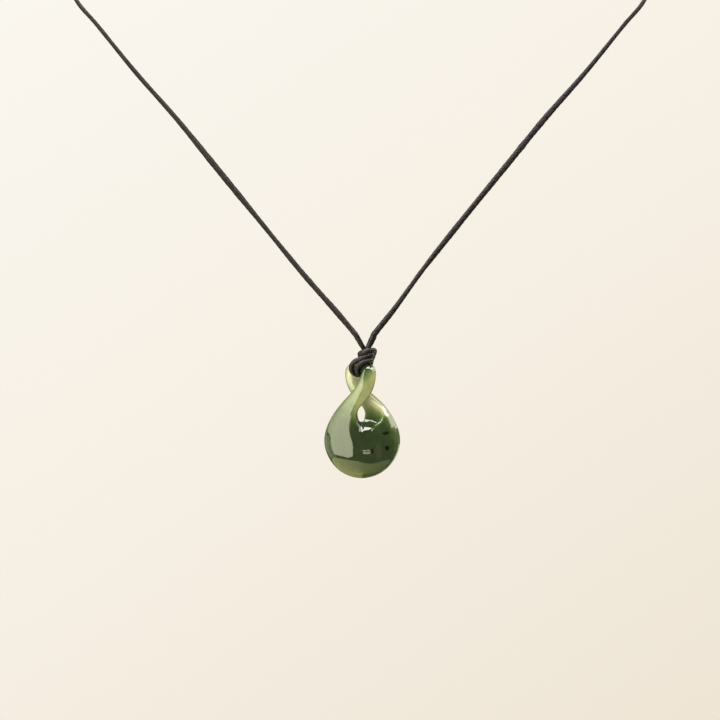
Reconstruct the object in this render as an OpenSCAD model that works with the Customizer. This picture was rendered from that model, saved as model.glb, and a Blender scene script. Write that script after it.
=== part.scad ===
// Greenstone twist pendant on a waxed cord, hung as a whole necklace loop.
// Millimetres, +Z up, +X to the right as seen from the front, front towards -Y.
// The origin is the centre of the neck hollow, level with the closing knot at the nape.

/* [Stone] */
// Height of the stone, foot to top
stone_h = 36.5; // [35.5:0.25:37.5]
// Thickness of the stone at its foot, front to back
body_t = 9.8; // [9:0.2:10.6]

/* [Cord] */
// Diameter of the waxed cord
cord_d = 1.4; // [1.2:0.05:1.4]

/* [Closing knot] */
// Length of the knot that joins the two ends at the nape
closing_l = 14; // [12:0.5:16]
// Diameter of that knot
closing_d = 4.6; // [4:0.2:5.4]

/* [Hidden] */

stone_colour = "#3f5f2c";
cord_colour = "#2b2523";

// Where the foot of the stone hangs from the neck
foot = [0, -68, -228];

// The height and thickness at which the tables below were drawn
drawn_h = 36.5;
drawn_t = 9.8;
grow = stone_h / drawn_h;

// Fineness of the stone: rings between two sections, and steps along one face of a ring
RINGS_PER_SECTION = 4;
FACE_STEPS = 12;

// Fineness of the cord: sides of the tube, and rings between two points of each stretch
CORD_SIDES = 8;
CORD_RINGS_PER_POINT = 2;
HITCH_RINGS_PER_POINT = 2;

// Columns of the section table. Edge A is the rim of the lower eye in the body, and turns over
// to be the outside of the ring. Edge B is the outline of the body, and turns over to be the rim
// of the upper eye. Front and back are how far each face stands out from the line A to B, turn
// is how far the faces have swung to the left, and carved is how far the strand's inner face is
// cut into a hollow, a broad side and a bevel, 0 to 1. The hollow ends and the bevel starts at
// these shares of the way from A to B. A crest above 1 moves the top of a plain face towards A.
A_X = 0;
A_Z = 1;
A_Y = 2;
B_X = 3;
B_Z = 4;
B_Y = 5;
FRONT = 6;
BACK = 7;
TURN = 8;
CARVED = 9;
HOLLOW = 10;
BEVEL = 11;
CREST = 12;

// Sections up the front strand, from the foot of the body to the top of the ring
SECTIONS = [
    [ 0.0, 17.7,  0.0,    0.0,  0.0,  0.0,  4.90, 4.90,   0, 0.20, 0.15, 0.97, 1.0],
    [-0.7, 18.0, -0.1,   -6.4,  1.9,  0.0,  4.80, 4.80,   0, 0.45, 0.18, 0.97, 1.3],
    [-0.9, 18.6, -0.3,  -10.5,  6.6,  0.0,  4.60, 4.50,   0, 0.75, 0.24, 0.97, 1.6],
    [-1.1, 19.6, -0.8,  -11.9, 12.3,  0.0,  4.20, 4.00,   0, 1.00, 0.34, 0.94, 1.8],
    [-1.1, 20.9, -1.5,  -10.2, 18.0, -0.2,  3.60, 3.10,   0, 1.00, 0.60, 0.86, 1.8],
    [-0.3, 22.4, -2.1,   -7.1, 22.7, -0.9,  3.00, 2.40,   0, 0.90, 0.88, 0.94, 1.5],
    [ 1.2, 24.2, -2.7,   -4.0, 25.9, -2.0,  2.50, 2.10,   0, 0.35, 0.92, 0.97, 1.2],
    [ 3.0, 26.4, -3.1,   -1.8, 28.3, -2.6,  2.20, 2.00,  -8, 0.00, 0.92, 0.97, 1.0],
    [ 4.1, 28.9, -3.4,   -0.5, 30.3, -2.9,  2.10, 1.90, -18, 0.00, 0.92, 0.97, 1.0],
    [ 4.6, 31.8, -3.4,    0.1, 32.0, -2.5,  1.95, 1.80, -28, 0.00, 0.92, 0.97, 1.0],
    [ 4.2, 34.6, -3.0,    0.5, 33.1, -1.7,  1.80, 1.75, -42, 0.00, 0.92, 0.97, 1.0],
    [ 2.3, 36.1, -1.8,    0.5, 33.3, -0.7,  1.75, 1.70, -52, 0.00, 0.92, 0.97, 1.0],
    [ 0.0, 36.5,  0.0,    0.0, 33.3,  0.0,  1.75, 1.75, -55, 0.00, 0.92, 0.97, 1.0]
];
LAST = len(SECTIONS) - 1;

// The ring leans a little to the left of the body and back: how far, and between which heights
LEAN = [-0.52, 0.72];
LEAN_FROM = 22;
LEAN_TO = 31;

// The lower eye stands a little to the left: how far, its height, and the spread of the shift
EYE_SHIFT = -0.3;
EYE_Z = 20.5;
EYE_SPREAD = 3.2;

// Above this height the thickness of the body no longer counts
BODY_TOP = 25;

// A carved face: the steps at which its hollow ends and its bevel starts, and how hollow it is
HOLLOW_STEP = 5 / 12;
BEVEL_STEP = 10 / 12;
HOLLOW_POWER = 1.35;

// The knot at the nape: its place above the foot, and the radius of its rounded shoulders
nape_y = 125;
nape_z = 228;
closing_round = 1.4;
ARC_STEPS = 6;

// The cord is one length. These points follow it, in mm from the foot of the stone: up the left
// side from the nape to the hitch, through the hitch, and back to the nape on the right side.
LEFT_SIDE = [
    [-closing_l / 2, nape_y, nape_z],
    [-closing_l / 2 - 6, nape_y, nape_z],
    [-26, 124, 227],
    [-42, 121.5, 224],
    [-60, 117, 219],
    [-76, 110, 211],
    [-89, 100, 201],
    [-97, 88, 189],
    [-99, 76, 177],
    [-98, 67, 166],
    [-94.7, 60, 156.3],
    [-87, 54, 147],
    [-74, 46, 131],
    [-60, 37, 115],
    [-47, 28, 99],
    [-34, 20, 83],
    [-21, 12, 67],
    [-14.6, 8, 59.5],
    [-8.5, 4.2, 52.6]
];
HITCH = [
    [-2.6, 0.9, 45.6], [-1.35, 0.65, 43.7], [-0.65, 0.7, 42.5], [-0.1, 0.95, 41.5],
    [0.55, 1.25, 40.6], [1.3, 1.45, 39.85], [2.15, 1.35, 39.2], [2.85, 0.75, 38.8],
    [3.1, -0.15, 38.65], [2.8, -1.05, 38.55], [1.95, -1.55, 38.25], [0.9, -1.7, 37.85],
    [-0.15, -1.6, 37.45], [-1.25, -1.4, 37], [-2.25, -1.15, 36.5], [-3.05, -0.85, 35.75],
    [-3.45, -0.45, 34.75], [-3.3, -0.05, 33.7], [-2.7, 0.5, 32.9], [-1.8, 1.05, 32.45],
    [-0.85, 1.7, 32.4], [0.05, 2.35, 32.8], [0.6, 2.9, 33.6], [0.7, 3.25, 34.65],
    [0.5, 3.25, 35.75], [0.2, 3, 36.8], [-0.1, 2.4, 37.7], [-0.35, 1.55, 38.4],
    [-0.35, 0.5, 38.85], [-0.05, -0.5, 39.1], [0.65, -1.25, 39.4], [1.6, -1.5, 39.75],
    [2.6, -1.15, 40], [3.4, -0.35, 40.1], [3.85, 0.65, 40], [3.9, 1.7, 39.45],
    [3.6, 2.5, 38.65], [3.25, 3.05, 37.7], [2.9, 3.3, 36.65], [2.6, 3.2, 35.55],
    [2.3, 2.85, 34.55], [1.95, 2.3, 33.65], [1.4, 1.6, 32.95], [0.7, 0.85, 32.5],
    [-0.1, 0.1, 32.4], [-0.9, -0.65, 32.6], [-1.5, -1.3, 33.2], [-1.65, -1.95, 34.1],
    [-1.3, -2.4, 35], [-0.55, -2.65, 35.75], [0.4, -2.7, 36.25], [1.4, -2.55, 36.6],
    [2.3, -2.1, 36.85], [2.9, -1.35, 37], [2.7, -0.5, 37.15], [2, -0.1, 37.65],
    [1.55, -0.05, 38.55], [1.55, 0, 39.6], [1.8, 0.05, 40.65], [2.25, 0.15, 41.65],
    [2.75, 0.3, 42.7], [3.45, 0.5, 44.1], [4.2, 0.9, 45.6]
];
RIGHT_SIDE = [
    [9.8, 4.2, 52.6],
    [14.8, 8, 59.5],
    [20.3, 12, 67],
    [33, 20, 83],
    [46, 28, 99],
    [59, 37, 115],
    [73, 46, 131],
    [86, 54, 147],
    [93.4, 60, 156],
    [97, 67, 166],
    [98, 76, 177],
    [96, 88, 189],
    [88, 100, 201],
    [75, 110, 211],
    [59, 117, 219],
    [42, 121.5, 224],
    [26, 124, 227],
    [closing_l / 2 + 6, nape_y, nape_z],
    [closing_l / 2, nape_y, nape_z]
];
GROWN_HITCH = [for (p = HITCH) p * grow];
ROUTE = concat(LEFT_SIDE, GROWN_HITCH, RIGHT_SIDE);
HITCH_START = len(LEFT_SIDE);
HITCH_END = HITCH_START + len(HITCH) - 1;
ROUTE_END = len(ROUTE) - 1;

// Small helpers
function unit(v) = v / norm(v);
function clamp01(x) = min(1, max(0, x));
function smooth(x) = x * x * (3 - 2 * x);
function spin_half(p) = [-p[0], -p[1], p[2]];

// One section as [edge A, edge B, facing, front, back, front carved, back carved, hollow, bevel,
// front crest, back crest].
// The front strand is carved on its back face, and both strands are at the foot.
function thicken(row) = 1 + (body_t / drawn_t - 1) * clamp01(1 - row[B_Z] / BODY_TOP);
function edge_a(row) = [row[A_X], row[A_Y], row[A_Z]];
function edge_b(row) = [row[B_X], row[B_Y], row[B_Z]];
function facing(row) = [sin(row[TURN]), -cos(row[TURN]), 0];
function front_section(k) = let (row = SECTIONS[k]) [
    edge_a(row), edge_b(row), facing(row),
    row[FRONT] * thicken(row), row[BACK] * thicken(row),
    k == 0 ? row[CARVED] : 0, row[CARVED], row[HOLLOW], row[BEVEL], row[CREST], 1
];

// The back strand is the front strand turned half round, so its faces change places
function back_section(k) = let (row = SECTIONS[k]) [
    spin_half(edge_a(row)), spin_half(edge_b(row)), -spin_half(facing(row)),
    row[BACK] * thicken(row), row[FRONT] * thicken(row),
    row[CARVED], 0, row[HOLLOW], row[BEVEL], 1, row[CREST]
];
LOOP = concat(
    [for (k = [0:LAST]) front_section(k)],
    [for (k = [LAST - 1:-1:1]) back_section(k)]
);

// A closed smooth curve through the sections: each is sharpened first, because the blend softens it
function around(rows, i) = rows[(i + len(rows)) % len(rows)];
function sharpened(rows) = [for (i = [0:len(rows) - 1])
    rows[i] - (around(rows, i + 1) - 2 * rows[i] + around(rows, i - 1)) / 6];
function blend(rows, i, f) =
    around(rows, i - 1) * pow(1 - f, 3) / 6
    + around(rows, i) * (3 * pow(f, 3) - 6 * pow(f, 2) + 4) / 6
    + around(rows, i + 1) * (-3 * pow(f, 3) + 3 * pow(f, 2) + 3 * f + 1) / 6
    + around(rows, i + 2) * pow(f, 3) / 6;

// One face of a ring from edge A (j = 0) to edge B (j = 1): [along the line, out of it]
function plain_face(j, crest) = [pow((1 - cos(180 * j)) / 2, crest), sin(180 * j)];
function bulge(along) = 2 * sqrt(max(0, along * (1 - along)));
function dug(a, h) = [h * a, bulge(h) * pow(a, HOLLOW_POWER)];
function broad(along) = [along, bulge(along)];
function bevelled(c, v) = [v + (1 - v) * c, bulge(v) * (1 - c)];
function carved_face(j, h, v) = j <= HOLLOW_STEP
    ? dug(j / HOLLOW_STEP, h)
    : j <= BEVEL_STEP
    ? broad(h + (v - h) * (j - HOLLOW_STEP) / (BEVEL_STEP - HOLLOW_STEP))
    : bevelled((j - BEVEL_STEP) / (1 - BEVEL_STEP), v);
function face_point(j, w, h, v, crest) = plain_face(j, crest) * (1 - w) + carved_face(j, h, v) * w;

// The lean of the ring and the shift of the eye, then the chosen height
function lean_share(z) = smooth(clamp01((z - LEAN_FROM) / (LEAN_TO - LEAN_FROM)));
function eye_share(p) =
    exp(-(pow(p[0], 2) + pow(p[2] - EYE_Z, 2)) / (2 * pow(EYE_SPREAD, 2)));
function leaned(p) =
    (p + [LEAN[0], LEAN[1], 0] * lean_share(p[2]) + [EYE_SHIFT, 0, 0] * eye_share(p)) * grow;
function placed(s, face, out) = leaned(s[0] + (s[1] - s[0]) * face[0] + unit(s[2]) * face[1] * out);
function ring(s) = concat(
    [for (j = [0:FACE_STEPS - 1])
        placed(s, face_point(j / FACE_STEPS, clamp01(s[5]), s[7], s[8], s[9]), s[3])],
    [for (j = [FACE_STEPS:-1:1])
        placed(s, face_point(j / FACE_STEPS, clamp01(s[6]), s[7], s[8], s[10]), -s[4])]
);

// Two triangles for each patch between ring i and ring k
function patch(i, k, j, m) = [
    [i * m + j, i * m + (j + 1) % m, k * m + (j + 1) % m],
    [i * m + j, k * m + (j + 1) % m, k * m + j]
];

// The polished stone, a closed band twisted once
module stone() {
    n = len(LOOP) * RINGS_PER_SECTION;
    m = 2 * FACE_STEPS;
    rows = sharpened(LOOP);
    rings = [for (i = [0:n - 1])
        ring(blend(rows, floor(i / RINGS_PER_SECTION), (i % RINGS_PER_SECTION) / RINGS_PER_SECTION))];
    color(stone_colour)
        translate(foot)
            polyhedron(
                points = [for (r = rings, p = r) p],
                faces = [for (i = [0:n - 1], j = [0:m - 1], t = patch(i, (i + 1) % n, j, m)) t],
                convexity = 6
            );
}

// The smooth line through the cord's points
function route_point(i) = ROUTE[min(ROUTE_END, max(0, i))];
function on_route(i, t) =
    0.5 * (2 * route_point(i)
    + (route_point(i + 1) - route_point(i - 1)) * t
    + (2 * route_point(i - 1) - 5 * route_point(i) + 4 * route_point(i + 1) - route_point(i + 2)) * t * t
    + (3 * route_point(i) - route_point(i - 1) - 3 * route_point(i + 1) + route_point(i + 2)) * t * t * t);
function stretch(from, to, steps) = concat(
    [for (i = [from:to - 1], k = [0:steps - 1]) on_route(i, k / steps)],
    [route_point(to)]
);

// The way the cord runs at a point of the route, so that two stretches share their end faces
function heading_at(i) = unit(route_point(i + 1) - route_point(i - 1));
function headings(line, from, to) = [for (i = [0:len(line) - 1])
    i == 0 ? heading_at(from)
    : i == len(line) - 1 ? heading_at(to)
    : unit(line[i + 1] - line[i - 1])];

// A side direction carried along the line without twisting. It starts from the world's Y.
function square_to(v, heading) = unit(v - heading * (v * heading));
function sideways(ways) = [for (i = 0, v = square_to([0, 1, 0], ways[0]);
    i < len(ways);
    i = i + 1, v = square_to(v, ways[min(i, len(ways) - 1)])) v];
function cord_ring(centre, heading, side) = let (across = cross(heading, side))
    [for (k = [0:CORD_SIDES - 1])
        let (a = 360 * k / CORD_SIDES)
        centre + (side * cos(a) + across * sin(a)) * cord_d / 2];

// A tube along one stretch of the route, closed by a flat face at each end
module cord_tube(from, to, steps) {
    line = stretch(from, to, steps);
    ways = headings(line, from, to);
    sides = sideways(ways);
    n = len(line);
    m = CORD_SIDES;
    color(cord_colour)
        translate(foot)
            polyhedron(
                points = [for (i = [0:n - 1], p = cord_ring(line[i], ways[i], sides[i])) p],
                faces = concat(
                    [[for (j = [0:m - 1]) j]],
                    [for (i = [0:n - 2], j = [0:m - 1], t = patch(i, i + 1, j, m)) [t[0], t[2], t[1]]],
                    [[for (j = [m - 1:-1:0]) (n - 1) * m + j]]
                ),
                convexity = 8
            );
}

// The cord from the nape down to the hitch, on the left as seen from the front
module cord_left() {
    cord_tube(0, HITCH_START, CORD_RINGS_PER_POINT);
}

// The hitch: the left strand goes down in front of the ring, through the upper eye, up behind the
// ring, across in front of both strands as a collar, down behind, and back out through the eye
module hitch_knot() {
    cord_tube(HITCH_START, HITCH_END, HITCH_RINGS_PER_POINT);
}

// The cord from the hitch back up to the nape, on the right as seen from the front
module cord_right() {
    cord_tube(HITCH_END, ROUTE_END, CORD_RINGS_PER_POINT);
}

// The knot that closes the loop at the nape, a plain barrel with rounded shoulders
function shoulder(end) = [for (k = [0:ARC_STEPS])
    let (a = 90 * k / ARC_STEPS)
    [
        closing_d / 2 - closing_round * (1 - (end > 0 ? cos(a) : sin(a))),
        end * (closing_l / 2 - closing_round * (1 - (end > 0 ? sin(a) : cos(a))))
    ]];
module closing_knot() {
    color(cord_colour)
        translate(foot + [0, nape_y, nape_z])
            rotate([0, 90, 0])
                rotate_extrude($fn = 48)
                    polygon(concat([[0, -closing_l / 2]], shoulder(-1), shoulder(1), [[0, closing_l / 2]]));
}

stone();
hitch_knot();
cord_left();
cord_right();
closing_knot();
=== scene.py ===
# %% [markdown]
# # A greenstone twist on a waxed cord
# The object is a necklace. A small carved stone, a drop twisted into two eyes, hangs from a thin
# waxed cord. The cord is hitched through the upper eye and runs round the neck to a closing knot.
# The solid model already holds the true sizes, so each piece here takes a solid's place and adds
# the finish. Everything is in metres, with +Z up and the front of the stone towards -Y. The
# origin is the centre of the neck hollow, level with the closing knot.

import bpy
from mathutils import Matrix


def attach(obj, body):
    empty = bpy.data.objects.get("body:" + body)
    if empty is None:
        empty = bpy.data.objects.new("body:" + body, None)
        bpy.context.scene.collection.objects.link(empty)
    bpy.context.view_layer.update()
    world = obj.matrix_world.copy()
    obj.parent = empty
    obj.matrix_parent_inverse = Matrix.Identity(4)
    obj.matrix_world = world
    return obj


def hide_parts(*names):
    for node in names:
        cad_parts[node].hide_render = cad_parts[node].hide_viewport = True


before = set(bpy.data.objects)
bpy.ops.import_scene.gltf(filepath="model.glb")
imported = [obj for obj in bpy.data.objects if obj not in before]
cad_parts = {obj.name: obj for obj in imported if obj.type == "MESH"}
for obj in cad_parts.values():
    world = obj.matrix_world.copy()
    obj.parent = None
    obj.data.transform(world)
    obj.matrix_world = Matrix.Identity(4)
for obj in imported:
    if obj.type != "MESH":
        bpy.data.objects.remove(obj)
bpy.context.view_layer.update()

# %% Tools used below
import math

import bmesh
import bpy
import numpy as np
from mathutils import Vector
from mathutils.bvhtree import BVHTree

MM = 0.001
STONE_FOOT = np.array([0.0, -68.0, -228.0])
print("the foot of the stone hangs at", STONE_FOOT * MM)

# %% [markdown]
# ## The camera
# A photograph of jewellery is taken from about a metre with a long lens, so that near and far
# parts keep their proportions. A short lens close by would swell the stone against the cord. The
# camera looks level, straight along +Y, and stands level with the top of the stone, which leaves
# the stone just below the centre of the picture.

# %% Set up the camera
CAMERA_AWAY = 1.0
CAMERA_ABOVE_FOOT = 37.0 * MM
CAMERA_TO_LEFT = 0.69 * MM
camera_data = bpy.data.cameras.new("camera")
camera_data.sensor_width = 36.0
camera_data.lens = 160.0
camera = bpy.data.objects.new("camera", camera_data)
camera.location = (-CAMERA_TO_LEFT, STONE_FOOT[1] * MM - CAMERA_AWAY,
                   STONE_FOOT[2] * MM + CAMERA_ABOVE_FOOT)
camera.rotation_euler = (math.radians(90), 0, 0)
bpy.context.scene.collection.objects.link(camera)
bpy.context.scene.camera = camera
print("camera", tuple(camera.location), "lens", camera_data.lens)

# %% [markdown]
# ## The line of the cord
# The necklace has one cord. It could be drawn as a curve with a bevel, but a curve gives a plain
# round hose, and this cord is twisted from plies and uneven in thickness. So the cord is swept as
# a mesh along one smooth line. The points below are the route that the solid model follows, from
# the nape down the left side, through the hitch, and up the right side, in millimetres from the
# foot of the stone.

# %% The points that the cord passes through
LEFT_SIDE = [
    (-7, 125, 228), (-13, 125, 228), (-26, 124, 227), (-42, 121.5, 224), (-60, 117, 219),
    (-76, 110, 211), (-89, 100, 201), (-97, 88, 189), (-99, 76, 177), (-98, 67, 166),
    (-94.7, 60, 156.3), (-87, 54, 147), (-74, 46, 131), (-60, 37, 115), (-47, 28, 99),
    (-34, 20, 83), (-21, 12, 67), (-14.6, 8, 59.5), (-8.5, 4.2, 52.6),
]
HITCH = [
    (-2.6, 0.9, 45.6), (-1.35, 0.65, 43.7), (-0.65, 0.7, 42.5), (-0.1, 0.95, 41.5),
    (0.55, 1.25, 40.6), (1.3, 1.45, 39.85), (2.15, 1.35, 39.2), (2.85, 0.75, 38.8),
    (3.1, -0.15, 38.65), (2.8, -1.05, 38.55), (1.95, -1.55, 38.25), (0.9, -1.7, 37.85),
    (-0.15, -1.6, 37.45), (-1.25, -1.4, 37), (-2.25, -1.15, 36.5), (-3.05, -0.85, 35.75),
    (-3.45, -0.45, 34.75), (-3.3, -0.05, 33.7), (-2.7, 0.5, 32.9), (-1.8, 1.05, 32.45),
    (-0.85, 1.7, 32.4), (0.05, 2.35, 32.8), (0.6, 2.9, 33.6), (0.7, 3.25, 34.65),
    (0.5, 3.25, 35.75), (0.2, 3, 36.8), (-0.1, 2.4, 37.7), (-0.35, 1.55, 38.4),
    (-0.35, 0.5, 38.85), (-0.05, -0.5, 39.1), (0.65, -1.25, 39.4), (1.6, -1.5, 39.75),
    (2.6, -1.15, 40), (3.4, -0.35, 40.1), (3.85, 0.65, 40), (3.9, 1.7, 39.45),
    (3.6, 2.5, 38.65), (3.25, 3.05, 37.7), (2.9, 3.3, 36.65), (2.6, 3.2, 35.55),
    (2.3, 2.85, 34.55), (1.95, 2.3, 33.65), (1.4, 1.6, 32.95), (0.7, 0.85, 32.5),
    (-0.1, 0.1, 32.4), (-0.9, -0.65, 32.6), (-1.5, -1.3, 33.2), (-1.65, -1.95, 34.1),
    (-1.3, -2.4, 35), (-0.55, -2.65, 35.75), (0.4, -2.7, 36.25), (1.4, -2.55, 36.6),
    (2.3, -2.1, 36.85), (2.9, -1.35, 37), (2.7, -0.5, 37.15), (2, -0.1, 37.65),
    (1.55, -0.05, 38.55), (1.55, 0, 39.6), (1.8, 0.05, 40.65), (2.25, 0.15, 41.65),
    (2.75, 0.3, 42.7), (3.45, 0.5, 44.1), (4.2, 0.9, 45.6),
]
RIGHT_SIDE = [
    (9.8, 4.2, 52.6), (14.8, 8, 59.5), (20.3, 12, 67), (33, 20, 83), (46, 28, 99),
    (59, 37, 115), (73, 46, 131), (86, 54, 147), (93.4, 60, 156), (97, 67, 166),
    (98, 76, 177), (96, 88, 189), (88, 100, 201), (75, 110, 211), (59, 117, 219),
    (42, 121.5, 224), (26, 124, 227), (13, 125, 228), (7, 125, 228),
]
print(len(LEFT_SIDE), "points left,", len(HITCH), "in the hitch,", len(RIGHT_SIDE), "right")

# %% A smooth line through the points
STEPS_PER_GAP = 60


def smooth_line(points, steps):
    """Points close together on the smooth line through the given ones, as the solid has it."""
    ends = np.vstack([points[:1], points, points[-1:]])
    t = np.linspace(0, 1, steps, endpoint=False)[:, None]
    pieces = []
    for i in range(len(points) - 1):
        a, b, c, d = ends[i:i + 4]
        pieces.append(b + 0.5 * ((c - a) * t + (2 * a - 5 * b + 4 * c - d) * t**2
                                 + (3 * b - a - 3 * c + d) * t**3))
    pieces.append(points[-1:])
    return np.concatenate(pieces)


def distance_along(line):
    """How far along the line each of its points lies."""
    return np.concatenate([[0], np.cumsum(np.linalg.norm(np.diff(line, axis=0), axis=1))])


route_points = np.array(LEFT_SIDE + HITCH + RIGHT_SIDE, float)
route = (smooth_line(route_points, STEPS_PER_GAP) + STONE_FOOT) * MM
route_s = distance_along(route)
hitch_start = route_s[len(LEFT_SIDE) * STEPS_PER_GAP]
hitch_end = route_s[(len(LEFT_SIDE) + len(HITCH) - 1) * STEPS_PER_GAP]
route_end = route_s[-1]
print("left %.4f m, hitch %.4f m, right %.4f m" % (
    hitch_start, hitch_end - hitch_start, route_end - hitch_end))

# %% Directions along the line
def unit(v):
    """The same vectors at length one."""
    return v / np.linalg.norm(v, axis=-1, keepdims=True)


def carried_sides(ways, start):
    """A side direction carried along the line without turning round it."""
    side = start
    sides = []
    for way in ways:
        side = unit(side - way * np.dot(side, way))
        sides.append(side)
    return np.array(sides)


route_ways = unit(np.gradient(route, axis=0))
route_sides = carried_sides(route_ways, np.array([0.0, 1.0, 0.0]))
print("directions at", len(route_ways), "points of the line")

# %% [markdown]
# ## The twisted plies
# The waxed cord is three plies twisted together, pressed by the wax into a nearly round strand.
# The plies show as shallow grooves that wind round it. A texture could paint them, but then the
# outline of the cord would stay as straight as a wire. Here each ring of the mesh is a little
# three-leafed clover, and each ring is turned a bit more than the last. The points of the mesh
# run along the plies, so the grooves stay clean.

# %% The section of the cord
PLIES = 3
GROOVE = 0.07
GROOVE_FORM = 1.6
YARNS = 18
YARN_RELIEF = 0.012


def ply_section(sides):
    """How far out each point of a ring lies, as a share of the radius, with three plies."""
    angle = 2 * np.pi * np.arange(sides) / sides
    ply = np.abs(np.cos(PLIES * angle / 2))
    return 1 - GROOVE * (1 - ply)**GROOVE_FORM + YARN_RELIEF * np.cos(YARNS * angle)


print("a section of", PLIES, "plies with", YARNS, "fine yarns round it")

# %% [markdown]
# ## Thick and thin stretches
# The cord isn't even. Pulled tight, it swells where it lies free in the hitch, and it is pressed
# thin where it passes through the eye or between its own strands. Higher up, a cord waxed by hand
# has thick and thin stretches. Random numbers alone would put these in the wrong places. So a
# table gives the slow changes, and small random swellings every few millimetres add the slubs.

# %% How thick the cord is along its way
CORD_D = 1.4 * MM
# Millimetres past the start of the hitch, and the thickness there as a share of the usual one.
THICKNESS = np.array([
    (-135, 1.0), (-112, 1.1), (-98, 1.14), (-88, 1.32), (-78, 1.45), (-62, 1.42), (-52, 1.2),
    (-42, 1.08), (-32, 1.2), (-18, 1.24), (-9, 1.34), (-3, 1.3), (5, 1.15), (18, 1.16),
    (21, 1.1), (27, 1.1), (30, 1.25), (32.5, 1.6), (35, 1.45), (37.5, 1.15), (41, 1.0), (47, 1.05),
    (54, 1.1), (56.5, 1.2), (58.5, 1.04), (61, 1.0), (65, 1.2), (68, 1.5), (76, 1.34), (86, 1.12),
    (98, 1.08), (106, 1.34), (118, 1.38), (128, 1.28), (138, 1.36), (148, 1.5), (158, 1.44),
    (168, 1.46), (178, 1.28), (190, 1.14), (206, 1.0),
])
SLUB_SEED = 12
SLUB_GAP = 2.6 * MM
SLUB_RELIEF = 0.03
SLUB_LIMITS = (-1.4, 2.4)
slub_size = np.random.default_rng(SLUB_SEED).normal(0, 1, int(route_end / SLUB_GAP) + 3)
slub_size = np.clip(slub_size, *SLUB_LIMITS)


def ease(value, low, high):
    """A smooth step from 0 at the low value to 1 at the high one."""
    share = np.clip((value - low) / (high - low), 0, 1)
    return share * share * (3 - 2 * share)


def cord_diameter(s):
    """The thickness of the cord at these places along it, with its slubs."""
    plain = CORD_D * np.interp((s - hitch_start) / MM, THICKNESS[:, 0], THICKNESS[:, 1])
    place = s / SLUB_GAP
    i = np.floor(place).astype(int)
    share = ease(place - i, 0, 1)
    slub = slub_size[i] * (1 - share) + slub_size[i + 1] * share
    return plain * (1 + SLUB_RELIEF * slub)


print("cord from %.2f to %.2f mm thick" % (
    cord_diameter(route_s).min() / MM, cord_diameter(route_s).max() / MM))

# %% Make a mesh piece
def new_piece(name, points, faces):
    """An object with these points, in metres, and these faces, smoothly shaded."""
    mesh = bpy.data.meshes.new(name)
    mesh.from_pydata([tuple(p) for p in points], [], faces)
    mesh.polygons.foreach_set("use_smooth", [True] * len(mesh.polygons))
    mesh.update()
    piece = bpy.data.objects.new(name, mesh)
    bpy.context.scene.collection.objects.link(piece)
    return piece


def note_on_points(piece, name, values):
    """Keeps one number, or three, for each point of the mesh, for the material to read."""
    values = np.asarray(values, np.float32)
    vector = values.ndim == 2
    layer = piece.data.attributes.new(name, "FLOAT_VECTOR" if vector else "FLOAT", "POINT")
    layer.data.foreach_set("vector" if vector else "value", values.ravel())


def band_faces(rings, around):
    """Four-sided faces between neighbouring rings of a tube."""
    i, k = np.meshgrid(np.arange(rings - 1), np.arange(around), indexing="ij")
    n = (k + 1) % around
    quads = np.stack([i * around + k, i * around + n,
                      (i + 1) * around + n, (i + 1) * around + k], -1)
    return quads.reshape(-1, 4).tolist()


def crisp_edges(piece, corner):
    """Keeps edges sharper than this angle crisp under smooth shading."""
    shape = bmesh.new()
    shape.from_mesh(piece.data)
    for edge in shape.edges:
        edge.smooth = edge.calc_face_angle(0) < corner
    shape.to_mesh(piece.data)
    shape.free()


print("mesh helpers are ready")

# %% Sweep a twisted cord
CORD_AROUND = 36
PLY_PITCH = 6.5 * MM
CUT_CORNER = math.radians(60)
STRAND_RING_GAP = 0.4 * MM
HITCH_RING_GAP = 0.22 * MM


def twisted_tube(name, line, ways, sides, diameters, twist, along):
    """A cord swept along a line, with a flat cut at each end."""
    angle = 2 * np.pi * np.arange(CORD_AROUND) / CORD_AROUND
    turned = angle[None, :] + twist[:, None]
    across = np.cross(ways, sides)
    out = (np.cos(turned)[..., None] * sides[:, None, :]
           + np.sin(turned)[..., None] * across[:, None, :])
    radius = diameters[:, None] / 2 * ply_section(CORD_AROUND)[None, :]
    points = (line[:, None, :] + out * radius[..., None]).reshape(-1, 3)
    faces = band_faces(len(line), CORD_AROUND)
    faces.append(list(range(CORD_AROUND))[::-1])
    last = (len(line) - 1) * CORD_AROUND
    faces.append(list(range(last, last + CORD_AROUND)))
    piece = new_piece(name, points, faces)
    crisp_edges(piece, CUT_CORNER)
    lay = np.stack(np.broadcast_arrays(along[:, None], np.cos(angle)[None, :],
                                       np.sin(angle)[None, :]), -1)
    note_on_points(piece, "lay", lay.reshape(-1, 3))
    return piece


def cord_stretch(name, start, end, ring_gap):
    """The part of the necklace's cord between two places along it."""
    s = np.linspace(start, end, round((end - start) / ring_gap) + 1)
    line = np.stack([np.interp(s, route_s, route[:, k]) for k in range(3)], 1)
    ways = unit(np.stack([np.interp(s, route_s, route_ways[:, k]) for k in range(3)], 1))
    sides = np.stack([np.interp(s, route_s, route_sides[:, k]) for k in range(3)], 1)
    sides = unit(sides - ways * np.sum(sides * ways, axis=1, keepdims=True))
    twist = 2 * np.pi * s / PLY_PITCH
    piece = twisted_tube(name, line, ways, sides, cord_diameter(s), twist, s)
    print(name, len(piece.data.polygons), "faces")
    return piece, line


left_cord, left_line = cord_stretch("waxed_cord_left", 0, hitch_start, STRAND_RING_GAP)
right_cord, right_line = cord_stretch("waxed_cord_right", hitch_end, route_end, STRAND_RING_GAP)
hitch, _ = cord_stretch("waxed_hitch", hitch_start, hitch_end, HITCH_RING_GAP)

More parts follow.
